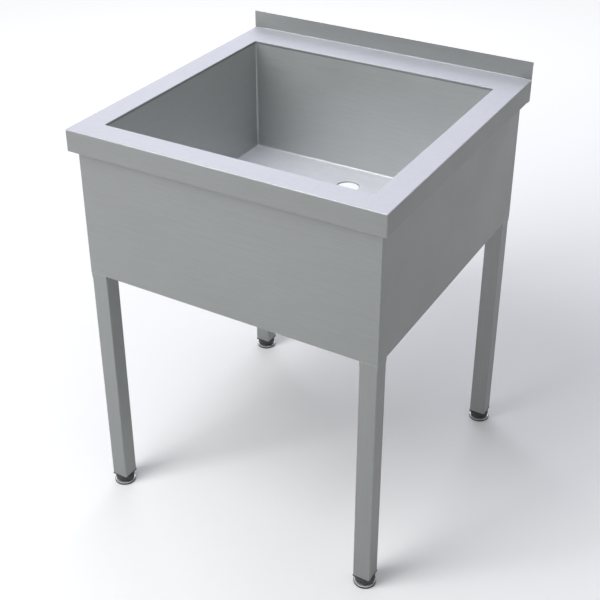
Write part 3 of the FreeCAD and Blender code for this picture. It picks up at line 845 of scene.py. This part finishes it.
def make_spindle(corner):
    """The screw: a rolled thread on its core, the hexagonal neck, and the riveted pivot."""
    low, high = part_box(f"{corner}_foot_spindle")
    neck_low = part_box(f"{corner}_foot_disc")[1].z
    neck_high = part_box(f"{corner}_foot_grip")[0].z
    thread_top = high.z - TIP_HEIGHT
    bm = turned([(0, low.z), (RIVET_RADIUS - RIVET_EDGE, low.z), (RIVET_RADIUS, low.z + RIVET_EDGE),
                 (RIVET_RADIUS, RIVET_TOP), (PIVOT_RADIUS, RIVET_TOP), (PIVOT_RADIUS, neck_low),
                 (CORE_RADIUS, neck_low), (CORE_RADIUS, thread_top),
                 (TIP_RADIUS, high.z), (0, high.z)], SCREW_STEPS)
    neck = bmesh.new()
    across_corners = NECK_FLATS / cos(pi / 6)
    bmesh.ops.create_cone(neck, cap_ends=True, segments=6, radius1=across_corners / 2,
                          radius2=across_corners / 2, depth=neck_high - neck_low)
    bmesh.ops.translate(neck, verts=neck.verts, vec=(0, 0, (neck_high + neck_low) / 2))
    join(bm, neck)
    join(bm, make_thread(neck_high + THREAD_PITCH, thread_top, CORE_RADIUS, CREST_RADIUS))
    bmesh.ops.translate(bm, verts=bm.verts, vec=foot_place(corner))
    piece(f"{corner}_screw", bm, zinc_plate, f"{corner}_foot_screw", [f"{corner}_foot_spindle"],
          smooth=28)


def make_grip(corner):
    """The hand wheel of the foot: flutes round its side, rounded rims, and a bore for the screw."""
    low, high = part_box(f"{corner}_foot_grip")
    height = high.z - low.z
    steps = GRIP_FLUTES * GRIP_STEPS
    bm = bmesh.new()
    first = bmesh.ops.create_circle(bm, cap_ends=False, radius=CORE_RADIUS, segments=steps,
                                    matrix=Matrix.Translation((0, 0, low.z)))["verts"]
    first_loop = [edge for edge in bm.edges if all(vert in first for vert in edge.verts)]
    loop = first_loop
    for share, rise in GRIP_PROFILE + ((0.0, 1.0),):
        verts = fold(bm, loop)
        for vert in verts:
            out = Vector((vert.co.x, vert.co.y, 0)).normalized()
            flute = FLUTE_DEPTH * max(0.0, cos(atan2(out.y, out.x) * GRIP_FLUTES)) ** 1.5
            radius = share * (GRIP_RADIUS - flute) if share else CORE_RADIUS
            vert.co = out * radius + Vector((0, 0, low.z + rise * height))
        loop = [edge for edge in bm.edges if all(vert in verts for vert in edge.verts)]
    bmesh.ops.bridge_loops(bm, edges=first_loop + loop)
    bmesh.ops.recalc_face_normals(bm, faces=bm.faces)
    bmesh.ops.translate(bm, verts=bm.verts, vec=foot_place(corner))
    piece(f"{corner}_hand_grip", bm, black_nylon, f"{corner}_foot_screw", [f"{corner}_foot_grip"],
          smooth=50)


def make_disc(corner):
    """The pressed disc, with its rim rolled round."""
    low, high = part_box(f"{corner}_foot_disc")
    radius = (high.x - low.x) / 2
    thick = high.z - low.z
    bm = turned([(DISC_BORE, low.z), (radius - thick * 0.4, low.z),
                 (radius - thick * 0.1, low.z + thick * 0.2), (radius, low.z + thick * 0.5),
                 (radius - thick * 0.15, high.z - thick * 0.15), (radius - thick * 0.5, high.z),
                 (DISC_BORE, high.z)], FOOT_STEPS, closed=True)
    bmesh.ops.translate(bm, verts=bm.verts, vec=foot_place(corner))
    piece(f"{corner}_base_disc", bm, pressed_disc, f"{corner}_foot_base", [f"{corner}_foot_disc"])


def make_pad(corner):
    """The rubber pad: a lip round the disc, a recess for the rivet, and grooves underneath."""
    low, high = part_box(f"{corner}_foot_pad")
    radius = (high.x - low.x) / 2
    disc_low, disc_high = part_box(f"{corner}_foot_disc")
    disc_radius = (disc_high.x - disc_low.x) / 2
    seat = disc_low.z
    underside = []
    for centre in PAD_GROOVES:
        underside += [(centre - GROOVE_MOUTH, 0), (centre - GROOVE_TOP, GROOVE_DEPTH),
                      (centre + GROOVE_TOP, GROOVE_DEPTH), (centre + GROOVE_MOUTH, 0)]
    outline = [(0, 0), *underside, (radius - 0.8 * MM, 0), (radius - 0.2 * MM, 0.25 * MM),
               (radius, 0.9 * MM), (radius, high.z - 0.5 * MM),
               (radius - 0.2 * MM, high.z - 0.1 * MM), (radius - 0.45 * MM, high.z),
               (disc_radius + 0.15 * MM, high.z - 0.15 * MM), (disc_radius + 0.1 * MM, seat),
               (RECESS_RADIUS, seat), (RECESS_RADIUS, RECESS_FLOOR), (0, RECESS_FLOOR)]
    bm = turned(outline, FOOT_STEPS)
    bmesh.ops.translate(bm, verts=bm.verts, vec=foot_place(corner))
    piece(f"{corner}_rubber_pad", bm, black_rubber, f"{corner}_foot_base", [f"{corner}_foot_pad"])


make_worktop()
make_rear_rail()
make_bowl()
for side, turn in (("front", 0), ("right", 90), ("rear", 180), ("left", 270)):
    make_apron(side, turn)
for corner in CORNERS:
    make_leg(corner)
    make_leg_weld(corner)
    make_insert(corner)
    make_spindle(corner)
    make_grip(corner)
    make_disc(corner)
    make_pad(corner)
    for node, material in ((f"{corner}_leg_cap", satin_leg), (f"{corner}_threaded_bush", zinc_plate)):
        frame["nodes"][node].data.materials.clear()
        frame["nodes"][node].data.materials.append(material)


# ---------------------------------------------------------------- camera, studio and floor

CAMERA_AZIMUTH = radians(29.98)
CAMERA_ELEVATION = radians(29.03)
CAMERA_DISTANCE = 2.4325
CAMERA_AIM = Vector((-0.0158, 0, 0.611))
FOCAL_PIXELS = 1116
IMAGE_PIXELS = 600
SENSOR_WIDTH = 36
PRINCIPAL_X = 302.7
PRINCIPAL_Y = 224.4


def make_camera():
    """The photograph's view, worked out from the straight edges of the sink."""
    back = Vector((sin(CAMERA_AZIMUTH) * cos(CAMERA_ELEVATION),
                   -cos(CAMERA_AZIMUTH) * cos(CAMERA_ELEVATION), sin(CAMERA_ELEVATION)))
    data = bpy.data.cameras.new("camera")
    data.sensor_width = SENSOR_WIDTH
    data.lens = data.sensor_width * FOCAL_PIXELS / IMAGE_PIXELS
    middle = (IMAGE_PIXELS - 1) / 2
    data.shift_x = (middle - PRINCIPAL_X) / IMAGE_PIXELS
    data.shift_y = (PRINCIPAL_Y - middle) / IMAGE_PIXELS
    data.clip_start = 0.05
    camera = bpy.data.objects.new("camera", data)
    bpy.context.scene.collection.objects.link(camera)
    camera.location = CAMERA_AIM + back * CAMERA_DISTANCE
    camera.rotation_mode = "QUATERNION"
    camera.rotation_quaternion = (-back).to_track_quat("-Z", "Y")
    bpy.context.scene.camera = camera


def softbox(name, place, aim, width, height, radiance, tint=(1.0, 1.0, 1.0)):
    """A soft area lamp that faces a point, with an even face of the given brightness."""
    data = bpy.data.lights.new(name, "AREA")
    data.shape = "RECTANGLE"
    data.size = width
    data.size_y = height
    data.energy = radiance * pi * width * height
    data.color = tint
    lamp = bpy.data.objects.new(name, data)
    bpy.context.scene.collection.objects.link(lamp)
    lamp.location = place
    lamp.rotation_mode = "QUATERNION"
    lamp.rotation_quaternion = (Vector(aim) - Vector(place)).to_track_quat("-Z", "Y")


ROOM_LIGHT = colour(0.15, 0.15, 0.15)
ROOM_SEEN = colour(0.8, 0.8, 0.8)
FLOOR_PAINT = colour(0.93, 0.93, 0.93)
COOL = (0.88, 0.895, 1.0)
FLOOR_REACH = 20
FLOOR_GAP = 0.5 * MM
FADE_START = 0.8
FADE_END = 4.5
LIFT_START = 0.06
LIFT_END = 0.62


def background_rays(tree):
    """One for the rays that show the background: to the camera, and off metal or through glass."""
    rays = tree.nodes.new("ShaderNodeLightPath")
    total = maths(tree, "ADD", rays.outputs["Is Camera Ray"], rays.outputs["Is Glossy Ray"])
    return maths(tree, "ADD", total, rays.outputs["Is Transmission Ray"], clamp=True)


def make_world():
    """A grey room for the light, and a pale one for the rays that show it."""
    world = bpy.data.worlds.new("studio")
    bpy.context.scene.world = world
    world.use_nodes = True
    tree = world.node_tree
    room = blend_colours(tree, background_rays(tree), ROOM_LIGHT, ROOM_SEEN)
    tree.links.new(room, tree.nodes["Background"].inputs["Color"])
    tree.nodes["Background"].inputs["Strength"].default_value = 1.0


def make_lamps():
    """Four soft lamps: behind, above, in front, and low on the left."""
    sink_top = (0, 0, RIM)
    softbox("back_softbox", (-1.5, 2.6, 2.6), sink_top, 3.0, 2.0, 2.4, COOL)
    softbox("overhead_softbox", (0.2, 0.0, 4.5), sink_top, 3.0, 3.0, 1.9, COOL)
    softbox("front_softbox", (-0.8, -1.7, 3.3), sink_top, 1.6, 1.6, 6.3)
    softbox("key_softbox", (-1.5, -2.6, 2.3), (0, 0, 0.6), 1.4, 1.4, 7.0)


def floor_paint():
    """Pale paint that fades into the pale room, and is clear to a camera below the floor."""
    material, tree, shader, points = new_material("pale_floor")
    shader.inputs["Base Color"].default_value = FLOOR_PAINT
    shader.inputs["Roughness"].default_value = 0.9
    shader.inputs["Specular IOR Level"].default_value = 0.1
    away = put(tree, "ShaderNodeVectorMath", {"operation": "LENGTH"},
               {0: points["Object"]}).outputs["Value"]
    lift = spread(tree, away, FADE_START, FADE_END, LIFT_START, LIFT_END)
    tree.links.new(maths(tree, "MULTIPLY", lift, background_rays(tree)),
                   shader.inputs["Emission Strength"])
    shader.inputs["Emission Color"].default_value = colour(1, 1, 1)
    underside = tree.nodes.new("ShaderNodeNewGeometry").outputs["Backfacing"]
    rays = tree.nodes.new("ShaderNodeLightPath")
    from_below = maths(tree, "MULTIPLY", rays.outputs["Transparent Depth"],
                       rays.outputs["Is Camera Ray"])
    unseen = maths(tree, "ADD", underside, from_below, clamp=True)
    clear = tree.nodes.new("ShaderNodeBsdfTransparent").outputs[0]
    one_sided = put(tree, "ShaderNodeMixShader", {}, {0: unseen, 1: shader.outputs[0], 2: clear})
    tree.links.new(one_sided.outputs[0], tree.nodes["Material Output"].inputs["Surface"])
    return material


def floor_part(name, bm, material):
    """A part of the floor, which is no part of the sink."""
    mesh = bpy.data.meshes.new(name)
    bm.to_mesh(mesh)
    bm.free()
    mesh.materials.append(material)
    part = bpy.data.objects.new(name, mesh)
    bpy.context.scene.collection.objects.link(part)
    return part


def make_floor():
    """Four quarters, each level with its foot and moving with it, over a base that nothing reaches."""
    material = floor_paint()
    level = cad_low.z - FLOOR_GAP
    drop = max(joint["range_m"][1] for joint in frame["joints"]
               if joint["name"].endswith("_foot_height"))
    for corner in CORNERS:
        foot = foot_place(corner)
        end_x = FLOOR_REACH if foot.x > 0 else -FLOOR_REACH
        end_y = FLOOR_REACH if foot.y > 0 else -FLOOR_REACH
        bm = flat_sheet((min(0, end_x), min(0, end_y), level), (max(0, end_x), max(0, end_y), level))
        inner = edges_where(bm, lambda p: near(p.x, 0)) + edges_where(bm, lambda p: near(p.y, 0))
        fold(bm, inner, (0, 0, -drop))
        face_like(bm, Vector((0, 0, 1)))
        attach(floor_part(f"{corner}_floor", bm, material), f"{corner}_foot_base")
    base = level - drop - FLOOR_GAP
    bm = flat_sheet((-FLOOR_REACH, -FLOOR_REACH, base), (FLOOR_REACH, FLOOR_REACH, base))
    floor_part("floor_base", bm, material)


make_camera()
make_world()
make_lamps()
make_floor()
bpy.context.scene.view_settings.view_transform = "Standard"
